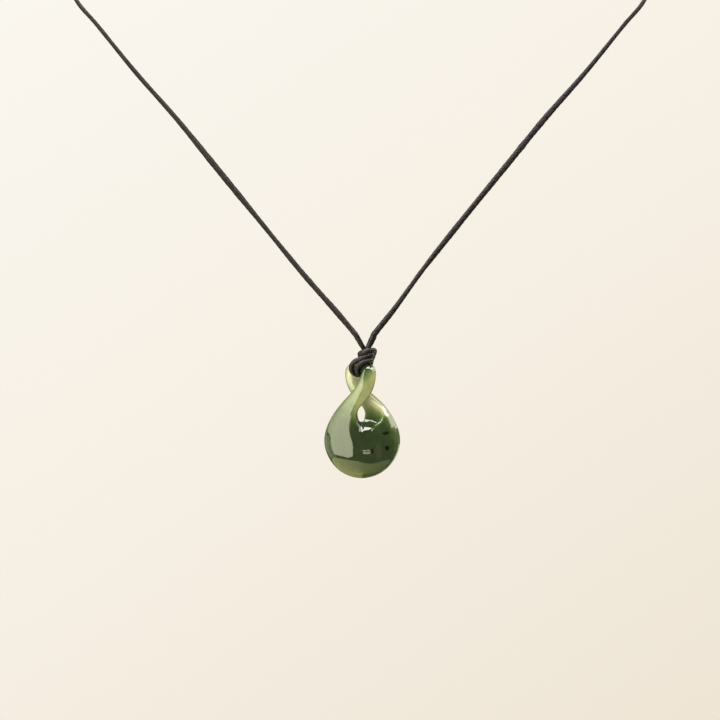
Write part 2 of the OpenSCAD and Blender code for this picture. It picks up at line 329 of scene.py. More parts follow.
# %% [markdown]
# ## The closing knot
# Behind the neck the two ends are joined. The photograph doesn't show how, so this is the usual
# way: one end is wrapped in close turns round the other, which makes a small barrel. A plain
# barrel would look like a bead. A twisted tube along a coil gives the real turns, with a short
# straight core inside and two trimmed ends that come out under the outer turns.

# %% Wind the closing knot
WRAP_D = 1.5 * MM
WRAP_TURNS = 8.2
TURN_RINGS = 44
BARREL_R = 2.28 * MM
BARREL_HALF = 6.9 * MM
TUCK_TURNS = 0.35
TUCKED_IN = 0.45
NAPE = np.array([0.0, 57.0, 0.0]) * MM


def wound_line():
    """A coil along X that starts and ends close to its core."""
    n = int(WRAP_TURNS * TURN_RINGS)
    t = np.linspace(0, 1, n)
    coil_r = BARREL_R - WRAP_D / 2
    turns_from_end = np.minimum(t, 1 - t) * WRAP_TURNS
    r = coil_r * (TUCKED_IN + (1 - TUCKED_IN) * ease(turns_from_end, 0, TUCK_TURNS))
    turn = 2 * np.pi * WRAP_TURNS * t
    half = BARREL_HALF - WRAP_D / 2
    return np.stack([half * (2 * t - 1), r * np.cos(turn), r * np.sin(turn)], 1) + NAPE


def straight_line(start, end, n):
    """Points in a straight row between two places."""
    t = np.linspace(0, 1, n)[:, None]
    return np.array(start) * (1 - t) + np.array(end) * t


def knot_strand(name, line, diameters):
    """One strand of the closing knot, along a line of its own."""
    ways = unit(np.gradient(line, axis=0))
    sides = carried_sides(ways, np.array([0.0, 0.0, 1.0]))
    along = distance_along(line)
    return twisted_tube(name, line, ways, sides, diameters, 2 * np.pi * along / PLY_PITCH, along)


print("a coil of", WRAP_TURNS, "turns, %.1f mm long" % (2 * BARREL_HALF / MM))

# %% The core and the trimmed ends
CORE_RINGS = 40
END_RINGS = 30
END_D = 1.35 * MM
END_STARTS = np.array([5.0, 0.5, -1.45]) * MM
END_STOPS = np.array([9.6, 0.9, -1.6]) * MM
TIP_FORM = 14
TIP_LEAST = 0.02


def trimmed_end(name, side):
    """A short cut end beside the cord, its tip rounded where the wax has melted."""
    mirrored = np.array([side, 1, 1])
    line = straight_line(NAPE + END_STARTS * mirrored, NAPE + END_STOPS * mirrored, END_RINGS)
    t = np.linspace(0, 1, END_RINGS)
    return knot_strand(name, line, END_D * np.sqrt(np.clip(1 - t**TIP_FORM, TIP_LEAST, 1)))


coil = wound_line()
closing_knot = knot_strand("wound_closing_knot", coil, np.full(len(coil), WRAP_D))
half_core = np.array([BARREL_HALF, 0, 0])
core = straight_line(NAPE - half_core, NAPE + half_core, CORE_RINGS)
strands = [knot_strand("core", core, np.full(CORE_RINGS, WRAP_D)), trimmed_end("end_left", -1),
           trimmed_end("end_right", 1)]
with bpy.context.temp_override(active_object=closing_knot,
                               selected_editable_objects=[closing_knot, *strands]):
    bpy.ops.object.join()
print("closing knot of", len(closing_knot.data.polygons), "faces")

# %% [markdown]
# ## Limp cords
# The real cord is limp. It hangs as the stone pulls it, and it could lie in any other way. A mesh
# can show only one way, so these keep the cord as it hangs.

# %% Hang the cord pieces on the cord body
for piece, node in ((left_cord, "cord_left"), (right_cord, "cord_right"),
                    (hitch, "hitch_knot"), (closing_knot, "closing_knot")):
    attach(piece, "cord")
    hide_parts(node)
print("two free cords hang from the closing knot to the hitch")

# %% [markdown]
# ## The stone
# The stone is one strand of greenstone bent into a loop and twisted once, with its lower part
# swollen into a drop. It could be sculpted by hand, but then it would not match the solid model.
# Instead the same table of sections is used as in the solid, with far finer rings. Each row holds
# two edges and the bulge of the two faces between them. Edge A is the rim of the lower eye, edge
# B is the outline of the drop. As the strand climbs, the two change places, and that is the twist.
# Only the front strand is in the table. The back strand is the same one turned half round.

# %% The sections of the stone
# From the foot up to the top of the ring, lengths in millimetres:
# A x, A z, A y, B x, B z, B y, front, back, turn in degrees, carved, hollow, bevel, crest
SECTIONS = np.array([
    (0.0, 17.7, 0.0, 0.0, 0.0, 0.0, 4.90, 4.90, 0, 0.20, 0.15, 0.97, 1.0),
    (-0.7, 18.0, -0.1, -6.4, 1.9, 0.0, 4.80, 4.80, 0, 0.45, 0.18, 0.97, 1.3),
    (-0.9, 18.6, -0.3, -10.5, 6.6, 0.0, 4.60, 4.50, 0, 0.75, 0.24, 0.97, 1.6),
    (-1.1, 19.6, -0.8, -11.9, 12.3, 0.0, 4.20, 4.00, 0, 1.00, 0.34, 0.94, 1.8),
    (-1.1, 20.9, -1.5, -10.2, 18.0, -0.2, 3.60, 3.10, 0, 1.00, 0.60, 0.86, 1.8),
    (-0.3, 22.4, -2.1, -7.1, 22.7, -0.9, 3.00, 2.40, 0, 0.90, 0.88, 0.94, 1.5),
    (1.2, 24.2, -2.7, -4.0, 25.9, -2.0, 2.50, 2.10, 0, 0.35, 0.92, 0.97, 1.2),
    (3.0, 26.4, -3.1, -1.8, 28.3, -2.6, 2.20, 2.00, -8, 0.00, 0.92, 0.97, 1.0),
    (4.1, 28.9, -3.4, -0.5, 30.3, -2.9, 2.10, 1.90, -18, 0.00, 0.92, 0.97, 1.0),
    (4.6, 31.8, -3.4, 0.1, 32.0, -2.5, 1.95, 1.80, -28, 0.00, 0.92, 0.97, 1.0),
    (4.2, 34.6, -3.0, 0.5, 33.1, -1.7, 1.80, 1.75, -42, 0.00, 0.92, 0.97, 1.0),
    (2.3, 36.1, -1.8, 0.5, 33.3, -0.7, 1.75, 1.70, -52, 0.00, 0.92, 0.97, 1.0),
    (0.0, 36.5, 0.0, 0.0, 33.3, 0.0, 1.75, 1.75, -55, 0.00, 0.92, 0.97, 1.0),
])


def whole_loop(table):
    """The front strand's sections, then the same ones turned half round for the back strand."""
    (a_x, a_z, a_y, b_x, b_z, b_y, front, back, turn,
     carved, hollow, bevel, crest) = table.T[..., None]
    edge_a = np.hstack([a_x, a_y, a_z])
    edge_b = np.hstack([b_x, b_y, b_z])
    facing = np.hstack([np.sin(np.radians(turn)), -np.cos(np.radians(turn)), 0 * turn])
    level = np.ones_like(crest)
    only_foot = np.zeros_like(carved)
    only_foot[0] = carved[0]
    going = np.hstack([edge_a, edge_b, facing, front, back, only_foot, carved, hollow, bevel,
                       crest, level])
    half = np.array([-1, -1, 1])
    coming = np.hstack([edge_a * half, edge_b * half, -facing * half,
                        back, front, carved, only_foot, hollow, bevel, level, crest])
    return np.vstack([going, coming[-2:0:-1]])


sections = whole_loop(SECTIONS)
print(len(sections), "sections round the loop")

# %% Blend the sections into rings
STONE_RINGS = 384
FACE_STEPS = 60
HOLLOW_STEP = 5 / 12
BEVEL_STEP = 10 / 12
HOLLOW_FORM = 1.35


def blended(rows, count):
    """A closed smooth run through the rows, which are sharpened first as blending softens them."""
    sharp = rows - (np.roll(rows, -1, 0) - 2 * rows + np.roll(rows, 1, 0)) / 6
    n = len(rows)
    place = np.arange(count) * n / count
    i = np.floor(place).astype(int)
    f = (place - i)[:, None]
    return (sharp[(i - 1) % n] * (1 - f)**3 / 6 + sharp[i % n] * (3 * f**3 - 6 * f**2 + 4) / 6
            + sharp[(i + 1) % n] * (-3 * f**3 + 3 * f**2 + 3 * f + 1) / 6
            + sharp[(i + 2) % n] * f**3 / 6)


def bulge(along):
    """How far an even curve from edge to edge stands out at this share of the way."""
    return 2 * np.sqrt(np.clip(along * (1 - along), 0, 1))


def face_line(steps, carved, hollow, bevel, crest):
    """One face of a section from edge A to edge B: how far along, and how far out."""
    j = np.linspace(0, 1, steps + 1)
    plain = np.stack([((1 - np.cos(np.pi * j)) / 2)**crest, np.sin(np.pi * j)])
    a = np.clip(j / HOLLOW_STEP, 0, 1)
    b = np.clip((j - HOLLOW_STEP) / (BEVEL_STEP - HOLLOW_STEP), 0, 1)
    c = np.clip((j - BEVEL_STEP) / (1 - BEVEL_STEP), 0, 1)
    broad = hollow + (bevel - hollow) * b
    along = np.where(j <= HOLLOW_STEP, hollow * a,
                     np.where(j <= BEVEL_STEP, broad, bevel + (1 - bevel) * c))
    out = np.where(j <= HOLLOW_STEP, bulge(hollow) * a**HOLLOW_FORM,
                   np.where(j <= BEVEL_STEP, bulge(broad), bulge(bevel) * (1 - c)))
    return plain * (1 - carved) + np.stack([along, out]) * carved


print("each ring has", 2 * FACE_STEPS, "points")

# %% Carve the stone
# The ring leans by LEAN, in x and y in millimetres: by nothing below LEAN_FROM, and by all of it
# above LEAN_TO. The lower eye is shifted a little to the left.
LEAN = np.array([-0.52, 0.72])
LEAN_FROM = 22.0
LEAN_TO = 31.0
EYE_SHIFT = -0.3
EYE_Z = 20.5
EYE_SPREAD = 3.2


def stone_rings(rows):
    """Every ring of the stone, in millimetres from its foot."""
    rings = []
    for row in rows:
        edge_a, edge_b, facing = row[0:3], row[3:6], unit(row[6:9])
        front, back, front_carved, back_carved, hollow, bevel, near_crest, far_crest = row[9:17]
        near = face_line(FACE_STEPS, np.clip(front_carved, 0, 1), hollow, bevel, near_crest)
        far = face_line(FACE_STEPS, np.clip(back_carved, 0, 1), hollow, bevel, far_crest)
        near = edge_a + np.outer(near[0], edge_b - edge_a) + np.outer(near[1] * front, facing)
        far = edge_a + np.outer(far[0], edge_b - edge_a) - np.outer(far[1] * back, facing)
        rings.append(np.concatenate([near[:-1], far[:0:-1]]))
    rings = np.array(rings)
    leaning = ease(rings[..., 2], LEAN_FROM, LEAN_TO)
    near_eye = np.exp(-(rings[..., 0]**2 + (rings[..., 2] - EYE_Z)**2) / (2 * EYE_SPREAD**2))
    rings[..., :2] += LEAN * leaning[..., None]
    rings[..., 0] += EYE_SHIFT * near_eye
    return rings


def faces_outward(piece):
    """Turns every face to the outside, and gives the volume in cubic metres."""
    shape = bmesh.new()
    shape.from_mesh(piece.data)
    bmesh.ops.recalc_face_normals(shape, faces=shape.faces)
    shape.to_mesh(piece.data)
    volume = shape.calc_volume()
    shape.free()
    return volume


rings = (stone_rings(blended(sections, STONE_RINGS)) + STONE_FOOT) * MM
around = rings.shape[1]
closed = np.concatenate([rings, rings[:1]])
quads = np.array(band_faces(len(closed), around)) % (STONE_RINGS * around)
stone = new_piece("polished_stone", rings.reshape(-1, 3), quads.tolist())
stone_volume = faces_outward(stone)
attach(stone, "stone")
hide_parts("stone")
print("stone of %.2f cubic centimetres, %d faces" % (stone_volume / (10 * MM)**3, len(quads)))

# %% [markdown]
# ## Where light comes through the stone
# Greenstone is deep green where it is thick and a pale grey green where it is thin, because light
# travels a few millimetres inside it. A renderer can trace that, but slowly and with noise. Here
# the answer is worked out once, in two steps. First, how much of the studio's light reaches each
# point of the surface, past the stone itself and past the cord. Then rays go inwards from each
# point in all directions. A ray that soon comes out at a well lit place adds much light, a long
# one adds almost none. The sum is kept on the mesh, and the material turns it into colour, so the
# stone's green holds painted light and shade. Three things are added: more painted light between
# the eyes, which makes the stone paler there, painted shade on the front near the dark cord, which
# takes light from the stone near it, and, because less light leaves sideways, a thin darker line of
# painted shade round the outline.

# %% The light of the studio, from each direction
# Lowest and highest azimuth and elevation in degrees, and the brightness of the studio there.
# The first row that holds a direction counts: lights above, floor, softbox, back light, paper.
STUDIO = [
    (-180, 180, 55, 90, 4.0), (-180, 0, -90, -35, 1.6), (0, 180, -90, -35, 0.6),
    (-76, 0, -26, 55, 3.0), (60, 155, 12, 55, 4.0),
    (-180, -100, -35, 55, 1.6), (100, 180, -35, 55, 0.4),
]
FROM_CAMERA_SIDE = 0.12
LIT_WAYS = 48


def spread_ways(count, first_z, last_z):
    """Directions spread evenly over the part of a ball between two heights."""
    i = np.arange(count) + 0.5
    z = first_z + (last_z - first_z) * i / count
    angle = i * math.pi * (3 - math.sqrt(5))
    r = np.sqrt(1 - z * z)
    return np.stack([r * np.cos(angle), r * np.sin(angle), z], 1)


def studio_light(way):
    """How bright the studio is in a direction."""
    azimuth = math.degrees(math.atan2(way[0], -way[1]))
    elevation = math.degrees(math.asin(way[2]))
    for left, right, bottom, top, bright in STUDIO:
        if left < azimuth < right and bottom < elevation < top:
            return bright
    return FROM_CAMERA_SIDE


studio_ways = [Vector(way) for way in spread_ways(LIT_WAYS, 1, -1)]
studio_power = [studio_light(way) for way in studio_ways]
print("the studio seen in", LIT_WAYS, "directions, up to", max(studio_power), "bright")

# %% The light that reaches each point
OFF_SURFACE = 0.03 * MM
GRAZING = 0.05
LIT_SOFTENED = 12


def ray_tree(pieces):
    """A search tree of the faces of these pieces, for casting rays."""
    points = []
    faces = []
    for piece in pieces:
        first = len(points)
        points += [v.co for v in piece.data.vertices]
        faces += [tuple(first + k for k in p.vertices) for p in piece.data.polygons]
    return BVHTree.FromPolygons(points, faces)


def light_on(piece, tree):
    """The light that falls on each point of the piece, 1 where all of the studio glows at 1."""
    light = np.zeros(len(piece.data.vertices))
    for i, vertex in enumerate(piece.data.vertices):
        start = vertex.co + vertex.normal * OFF_SURFACE
        for way, strength in zip(studio_ways, studio_power):
            facing = vertex.normal.dot(way)
            if facing > GRAZING and tree.ray_cast(start, way)[0] is None:
                light[i] += facing * strength
    return light * 4 / LIT_WAYS


def softened(values, rounds):
    """Evens out values over neighbouring points of the stone's rings."""
    grid = values.reshape(STONE_RINGS, -1)
    for _ in range(rounds):
        grid = (grid + np.roll(grid, 1, 0) + np.roll(grid, -1, 0)
                + np.roll(grid, 1, 1) + np.roll(grid, -1, 1)) / 5
    return grid.ravel()


lit = light_on(stone, ray_tree([stone, hitch, left_cord, right_cord]))
lit = softened(lit, LIT_SOFTENED)
print("light on the stone from %.2f to %.2f" % (lit.min(), lit.max()))

# %% The light that comes through
LIGHT_REACH = 2.6 * MM
RAYS = 22
FLATTEST_RAY = 0.18
UNDER_SURFACE = 0.02 * MM
GLOW_SOFTENED = 4


def light_through(piece, tree, lit):
    """A number for each point, 0 where the stone is thick or unlit behind, larger where thin."""
    mesh = piece.data
    on_face = [sum(lit[k] for k in p.vertices) / len(p.vertices) for p in mesh.polygons]
    rays = [Vector(ray) for ray in spread_ways(RAYS, FLATTEST_RAY, 1)]
    glow = np.zeros(len(mesh.vertices))
    for i, vertex in enumerate(mesh.vertices):
        inward = -vertex.normal
        tilt = Vector((0, 0, 1)).rotation_difference(inward).to_matrix()
        start = vertex.co + inward * UNDER_SURFACE
        total = 0.0
        for ray in rays:
            where, _, face, away = tree.ray_cast(start, tilt @ ray)
            if where is not None:
                total += math.exp(-away / LIGHT_REACH) * on_face[face]
        glow[i] = total / RAYS
    return glow


glow = softened(light_through(stone, ray_tree([stone]), lit), GLOW_SOFTENED)
print("light through the stone from %.3f to %.3f" % (glow.min(), glow.max()))

# %% Painted light between the eyes
# Painted light: PALER is added to the light through the stone between the eyes, and less of it on
# the ring above.
PALER = 0.085
PALE_FROM = 18.0 * MM
PALE_TO = 24.0 * MM
RING_FROM = 27.0 * MM
RING_TO = 33.0 * MM
RING_LESS = 0.7
SHOULDER_FROM = 4.5 * MM
SHOULDER_TO = 8.5 * MM


def painted_light_between_eyes(points, glow):
    """Painted light: more light through the stone between its two eyes, away from the shoulders of
    the drop, so it is paler there.
    """
    height = points[:, 2] - STONE_FOOT[2] * MM
    middle = 1 - ease(np.abs(points[:, 0]), SHOULDER_FROM, SHOULDER_TO)
    ring = ease(height, RING_FROM, RING_TO)
    between = ease(height, PALE_FROM, PALE_TO) * (1 - RING_LESS * ring)
    return glow + PALER * middle * between


stone_points = rings.reshape(-1, 3)
glow = painted_light_between_eyes(stone_points, glow)
print("with the paler stone from %.3f to %.3f" % (glow.min(), glow.max()))

# %% The shade of the cord and the darker outline
CORD_SHADE = 0.7
SHADE_FROM = 0.4 * MM
SHADE_TO = 4.6 * MM
FRONT_FROM = -1.0 * MM
FRONT_TO = 1.5 * MM
EDGE_DARKER = 0.42
EDGE_FROM = 0.7
FULL_GLOW = 0.48


def shaded_near(piece, cords, points, glow):
    """Takes light away on the front, close to the dark cord, which lets none through."""
    tree = ray_tree(cords)
    near = np.array([tree.find_nearest(v.co)[3] for v in piece.data.vertices])
    dark = CORD_SHADE * (1 - ease(near, SHADE_FROM, SHADE_TO))
    forward = STONE_FOOT[1] * MM - points[:, 1]
    return glow * (1 - dark * ease(forward, FRONT_FROM, FRONT_TO))


def darker_edge(piece, glow):
    """Takes light away round the outline, where the surface faces neither front nor back."""
    to_the_side = np.sqrt([max(0.0, 1 - v.normal.y**2) for v in piece.data.vertices])
    return np.minimum(glow, FULL_GLOW) * (1 - EDGE_DARKER * ease(to_the_side, EDGE_FROM, 1))


glow = darker_edge(stone, shaded_near(stone, [hitch], stone_points, glow))
note_on_points(stone, "glow", glow)
print("kept on the mesh: from %.3f to %.3f" % (glow.min(), glow.max()))

# %% [markdown]
# ## The greenstone finish
# The stone is polished nephrite: smooth as glass, green all through, with soft clouds, a few
# black flecks and a paler smear. A flat green with a gloss looks like plastic. So the light that
# was worked out above picks the green, slow noise makes clouds in it, faint streaks follow the
# grain along the strand, and a little scattering under the surface softens the shadows. The flecks
# are small dark places near the front surface, given by their position in the stone, so they stay
# where they are when the stone swings.

# %% The grain of the stone
loop_turn = 2 * np.pi * np.arange(STONE_RINGS)[:, None] / STONE_RINGS
face_turn = 2 * np.pi * np.arange(around)[None, :] / around
grain = np.stack(np.broadcast_arrays(np.cos(face_turn), np.sin(face_turn), np.sin(loop_turn)), -1)
note_on_points(stone, "grain", grain.reshape(-1, 3))
print("grain noted on", grain.shape[0] * grain.shape[1], "points")

# %% Helpers for building a material
def new_material(name):
    """An empty material with its node tree and the surface shader."""
    material = bpy.data.materials.new(name)
    material.use_nodes = True
    return material, material.node_tree, material.node_tree.nodes["Principled BSDF"]


def add_node(tree, kind, **settings):
    """A node with its settings. A setting that starts with an underscore is a socket's number."""
    node = tree.nodes.new(kind)
    for name, value in settings.items():
        if name.startswith("_"):
            node.inputs[int(name[1:])].default_value = value
        else:
            setattr(node, name, value)
    return node


def glowing_material(name):
    """A material that only glows, with its node tree and the node that makes the glow."""
    material, tree, surface = new_material(name)
    tree.nodes.remove(surface)
    glow = add_node(tree, "ShaderNodeEmission")
    tree.links.new(glow.outputs["Emission"], tree.nodes["Material Output"].inputs["Surface"])
    return material, tree, glow


def read_note(tree, name, socket="Fac"):
    """Reads what was kept on the mesh's points."""
    node = add_node(tree, "ShaderNodeAttribute", attribute_name=name)
    return node.outputs[socket]


def noise(tree, place, scale, detail=3.0, roughness=0.5, distortion=0.0):
    """A noise pattern with features of about one over the scale, in metres."""
    node = add_node(tree, "ShaderNodeTexNoise")
    node.inputs["Scale"].default_value = scale
    node.inputs["Detail"].default_value = detail
    node.inputs["Roughness"].default_value = roughness
    node.inputs["Distortion"].default_value = distortion
    tree.links.new(place, node.inputs["Vector"])
    return node


def colour_stops(tree, value, stops):
    """A run of colours over the values from 0 to 1."""
    node = add_node(tree, "ShaderNodeValToRGB")
    ramp = node.color_ramp
    while len(ramp.elements) < len(stops):
        ramp.elements.new(0.5)
    for element, (position, colour) in zip(ramp.elements, stops):
        element.position = position
        element.color = (*colour, 1)
    tree.links.new(value, node.inputs[0])
    return node.outputs[0]


def stretch(tree, value, low, high, to_low=0.0, to_high=1.0):
    """Stretches the values between low and high to a new range, and cuts off the rest."""
    node = add_node(tree, "ShaderNodeMapRange", _1=low, _2=high, _3=to_low, _4=to_high)
    tree.links.new(value, node.inputs[0])
    return node.outputs[0]


def mix_colour(tree, share, first, second):
    """The first colour where the share is 0 and the second where it is 1."""
    node = add_node(tree, "ShaderNodeMix", data_type="RGBA")
    for socket, value in ((0, share), (6, first), (7, second)):
        if isinstance(value, bpy.types.NodeSocket):
            tree.links.new(value, node.inputs[socket])
        else:
            node.inputs[socket].default_value = value if socket == 0 else (*value, 1)
    return node.outputs[2]


def arithmetic(tree, kind, first, second):
    """Two values added or multiplied."""
    node = add_node(tree, "ShaderNodeMath", operation=kind)
    for socket, value in enumerate((first, second)):
        if isinstance(value, bpy.types.NodeSocket):
            tree.links.new(value, node.inputs[socket])
        else:
            node.inputs[socket].default_value = value
    return node.outputs[0]


print("material helpers are ready")

# %% The green of the stone
# Light through the stone, and the green that it has there.
GREENS = [
    (0.00, (0.028, 0.046, 0.017)),
    (0.20, (0.038, 0.066, 0.020)),
    (0.38, (0.085, 0.135, 0.036)),
    (0.60, (0.190, 0.240, 0.078)),
    (0.75, (0.330, 0.360, 0.145)),
    (0.90, (0.490, 0.505, 0.270)),
    (1.00, (0.590, 0.605, 0.390)),
]
LEAST_GLOW = 0.03
NOISE_LOW = 0.3
NOISE_HIGH = 0.7
CLOUDS_PER_METRE = 170
SPECKS_PER_METRE = 900
GRAIN_SCALE = (7.0, 7.0, 1.6)


def pattern_swing(tree, pattern, amount):
    """A noise pattern as a value that goes this far above and below 0."""
    return stretch(tree, pattern.outputs[0], NOISE_LOW, NOISE_HIGH, -amount, amount)


greenstone, tree, surface = new_material("greenstone")
place = add_node(tree, "ShaderNodeTexCoord").outputs["Object"]
clouds = noise(tree, place, CLOUDS_PER_METRE, detail=4.0, roughness=0.55, distortion=0.6)
specks = noise(tree, place, SPECKS_PER_METRE)
along_strand = add_node(tree, "ShaderNodeVectorMath", operation="MULTIPLY")
tree.links.new(read_note(tree, "grain", "Vector"), along_strand.inputs[0])
along_strand.inputs[1].default_value = GRAIN_SCALE
streaks = noise(tree, along_strand.outputs[0], 1.0, roughness=0.6)
light = stretch(tree, read_note(tree, "glow"), LEAST_GLOW, FULL_GLOW)
for pattern, amount in ((clouds, 0.07), (specks, 0.02), (streaks, 0.05)):
    light = arithmetic(tree, "ADD", light, pattern_swing(tree, pattern, amount))
green = colour_stops(tree, light, GREENS)
print("green from the light, the clouds, the specks and the streaks along the strand")

# %% The flecks and the polish
# Place and half-sizes in millimetres from the foot, how ragged in millimetres, and the colour.
FLECKS = [
    ((5.1, -3.9, 8.4), (1.2, 3.0, 3.0), 1.8, (0.050, 0.060, 0.028)),
    ((7.3, -3.6, 14.2), (1.25, 3.0, 0.5), 1.3, (0.006, 0.010, 0.004)),
    ((7.75, -3.2, 9.7), (0.75, 3.0, 0.85), 0.8, (0.005, 0.008, 0.004)),
    ((3.1, -4.4, 8.6), (0.45, 3.0, 0.85), 0.4, (0.008, 0.011, 0.005)),
]
RAGGED_PER_METRE = 1400
# A fleck is whole up to the first share of its half-size, and gone at the second.
FLECK_WHOLE = 0.6
FLECK_GONE = 1.2


def fleck(tree, place, green, at, size, spread, colour):
    """The green with one more fleck in it, which keeps its place in the stone."""
    at = (np.array(at) + STONE_FOOT) * MM
    ragged = noise(tree, place, RAGGED_PER_METRE, detail=2.0)
    shift = add_node(tree, "ShaderNodeVectorMath", operation="MULTIPLY_ADD")
    tree.links.new(ragged.outputs[1], shift.inputs[0])
    shift.inputs[1].default_value = (spread * MM,) * 3
    tree.links.new(place, shift.inputs[2])
    away = add_node(tree, "ShaderNodeVectorMath", operation="SUBTRACT")
    tree.links.new(shift.outputs[0], away.inputs[0])
    away.inputs[1].default_value = tuple(at + spread * MM / 2)
    scaled = add_node(tree, "ShaderNodeVectorMath", operation="MULTIPLY")
    tree.links.new(away.outputs[0], scaled.inputs[0])
    scaled.inputs[1].default_value = tuple(1 / (np.array(size) * MM))
    far = add_node(tree, "ShaderNodeVectorMath", operation="LENGTH")
    tree.links.new(scaled.outputs[0], far.inputs[0])
    share = stretch(tree, far.outputs["Value"], FLECK_WHOLE, FLECK_GONE, 1.0, 0.0)
    return mix_colour(tree, share, green, colour)


for at, size, spread, colour in FLECKS:
    green = fleck(tree, place, green, at, size, spread, colour)
tree.links.new(green, surface.inputs["Base Color"])
surface.inputs["Roughness"].default_value = 0.05
surface.inputs["IOR"].default_value = 1.61
surface.inputs["Subsurface Weight"].default_value = 0.35
surface.inputs["Subsurface Radius"].default_value = (1.0, 1.2, 0.5)
surface.inputs["Subsurface Scale"].default_value = 1.6 * MM
stone.data.materials.append(greenstone)
print("greenstone with", len(tree.nodes), "nodes")

# %% [markdown]
# ## The waxed finish
# The cord is dark brown, almost black, and the wax gives it a dull shine that shows as a grey
# streak on the side towards the light. A shiny black would look like rubber. So the colour
# changes a little from place to place, thin fibres run along the plies, and the wax is smoother
# in some places than in others. The pattern follows the plies because each point of the mesh
# knows how far along the cord and how far round it lies. The hitch has kept its wax. Above it the
# strands are rubbed by the skin and by clothes, so they shine only half as much.

# %% The waxed cord
WORN_FROM = (STONE_FOOT[2] + 41.0) * MM
WORN_TO = (STONE_FOOT[2] + 49.0) * MM
WAXED_SHINE = 0.27
WORN_SHINE = 0.13
SMOOTHEST_WAX = 0.22
ROUGHEST_WAX = 0.42
FIBRE_SCALE = (260.0, 7.0, 7.0)
PATCHES_PER_METRE = 420
TONE_LOW = 0.10
TONE_HIGH = 0.42
waxed, tree, surface = new_material("waxed_cord")
place = add_node(tree, "ShaderNodeTexCoord").outputs["Object"]
lay = read_note(tree, "lay", "Vector")
along_plies = add_node(tree, "ShaderNodeVectorMath", operation="MULTIPLY")
tree.links.new(lay, along_plies.inputs[0])
along_plies.inputs[1].default_value = FIBRE_SCALE
fibres = noise(tree, along_plies.outputs[0], 1.0, detail=4.0, roughness=0.6)
patches = noise(tree, place, PATCHES_PER_METRE)
tone = arithmetic(tree, "MULTIPLY", fibres.outputs[0], patches.outputs[0])
brown = colour_stops(tree, stretch(tree, tone, TONE_LOW, TONE_HIGH), [
    (0.0, (0.0055, 0.0045, 0.0040)),
    (0.5, (0.0110, 0.0090, 0.0075)),
    (1.0, (0.0260, 0.0210, 0.0170)),
])
tree.links.new(brown, surface.inputs["Base Color"])
wax = stretch(tree, patches.outputs[0], NOISE_LOW, NOISE_HIGH, SMOOTHEST_WAX, ROUGHEST_WAX)
tree.links.new(wax, surface.inputs["Roughness"])
relief = add_node(tree, "ShaderNodeBump")
relief.inputs["Strength"].default_value = 0.8
relief.inputs["Distance"].default_value = 0.12 * MM
tree.links.new(fibres.outputs[0], relief.inputs["Height"])
tree.links.new(relief.outputs[0], surface.inputs["Normal"])
surface.inputs["IOR"].default_value = 1.45
height = add_node(tree, "ShaderNodeSeparateXYZ")
tree.links.new(place, height.inputs[0])
shine = stretch(tree, height.outputs["Z"], WORN_FROM, WORN_TO, WAXED_SHINE, WORN_SHINE)
tree.links.new(shine, surface.inputs["Specular IOR Level"])
surface.inputs["Specular Tint"].default_value = (1.0, 0.9, 1.0, 1)
for piece in (left_cord, right_cord, hitch, closing_knot):
    piece.data.materials.clear()
    piece.data.materials.append(waxed)
print("waxed cord with", len(tree.nodes), "nodes")

# %% [markdown]
# ## Floor and backdrop
# The studio is a pale cream sweep: a floor that curves up into the backdrop with no line between
# them. A flat plane and a wall would show a horizon. A profile turned round the middle of the room
# makes a bowl, so that every view has the same soft background. It glows evenly, a little warmer
# and darker towards the lower right, as the photograph does.

# %% Turn the sweep
FLOOR_Z = -1.3
FLOOR_HOLE = 0.05
SWEEP_R = 3.4
COVE_R = 1.3
COVE_FROM = 0.1
WALL_FROM = 0.3
WALL_TOP = 3.0
FLOOR_RINGS, COVE_RINGS, WALL_RINGS = 12, 14, 8
SWEEP_AROUND = 96


def sweep_profile():
    """Points of the profile from the middle of the floor to the top of the wall."""
    flat = [(r, FLOOR_Z) for r in np.linspace(FLOOR_HOLE, SWEEP_R - COVE_R, FLOOR_RINGS)]
    bend = [(SWEEP_R - COVE_R + COVE_R * math.sin(a), FLOOR_Z + COVE_R * (1 - math.cos(a)))
            for a in np.linspace(COVE_FROM, math.pi / 2, COVE_RINGS)]
    wall_from = FLOOR_Z + COVE_R + WALL_FROM
    wall = [(SWEEP_R, z) for z in np.linspace(wall_from, WALL_TOP, WALL_RINGS)]
    return flat + bend + wall


turns = 2 * np.pi * np.arange(SWEEP_AROUND) / SWEEP_AROUND
sweep_points = [(r * math.cos(a), r * math.sin(a), z) for r, z in sweep_profile() for a in turns]
sweep_faces = band_faces(len(sweep_profile()), SWEEP_AROUND)
sweep_faces.append(list(range(SWEEP_AROUND)))
sweep = new_piece("studio_sweep", sweep_points, sweep_faces)
print("sweep of", len(sweep_faces), "faces")

# %% The cream paper
# The paper's glow holds painted light and shade: paler towards the upper left, darker and warmer
# towards the lower right.
PALER_TOWARDS = (-0.55, 0.0, 0.83)
WARMEST_AT = -0.95
PALEST_AT = 0.65
paper, tree, glow_paper = glowing_material("cream_paper")
place = add_node(tree, "ShaderNodeTexCoord").outputs["Object"]
slope = add_node(tree, "ShaderNodeVectorMath", operation="DOT_PRODUCT")
tree.links.new(place, slope.inputs[0])
slope.inputs[1].default_value = PALER_TOWARDS
cream = colour_stops(tree, stretch(tree, slope.outputs["Value"], WARMEST_AT, PALEST_AT), [
    (0.0, (0.840, 0.765, 0.640)),
    (0.5, (0.925, 0.865, 0.775)),
    (1.0, (0.965, 0.940, 0.880)),
])
tree.links.new(cream, glow_paper.inputs["Color"])
sweep.data.materials.append(paper)
sweep.visible_diffuse = False
sweep.visible_shadow = False
sweep.visible_glossy = False
print("the paper is seen, but it neither lights the stone nor shows in it")

# %% [markdown]
# ## Light
# Small polished things are lit softly, since a small hard lamp gives them black shadows. One tall
# softbox stands on the left, one behind on the right, and one hangs above. The world adds the
# even light of the room. What the polish mirrors is made in the next step, so the lamps are kept
# out of reflections: then each can be changed without the other.

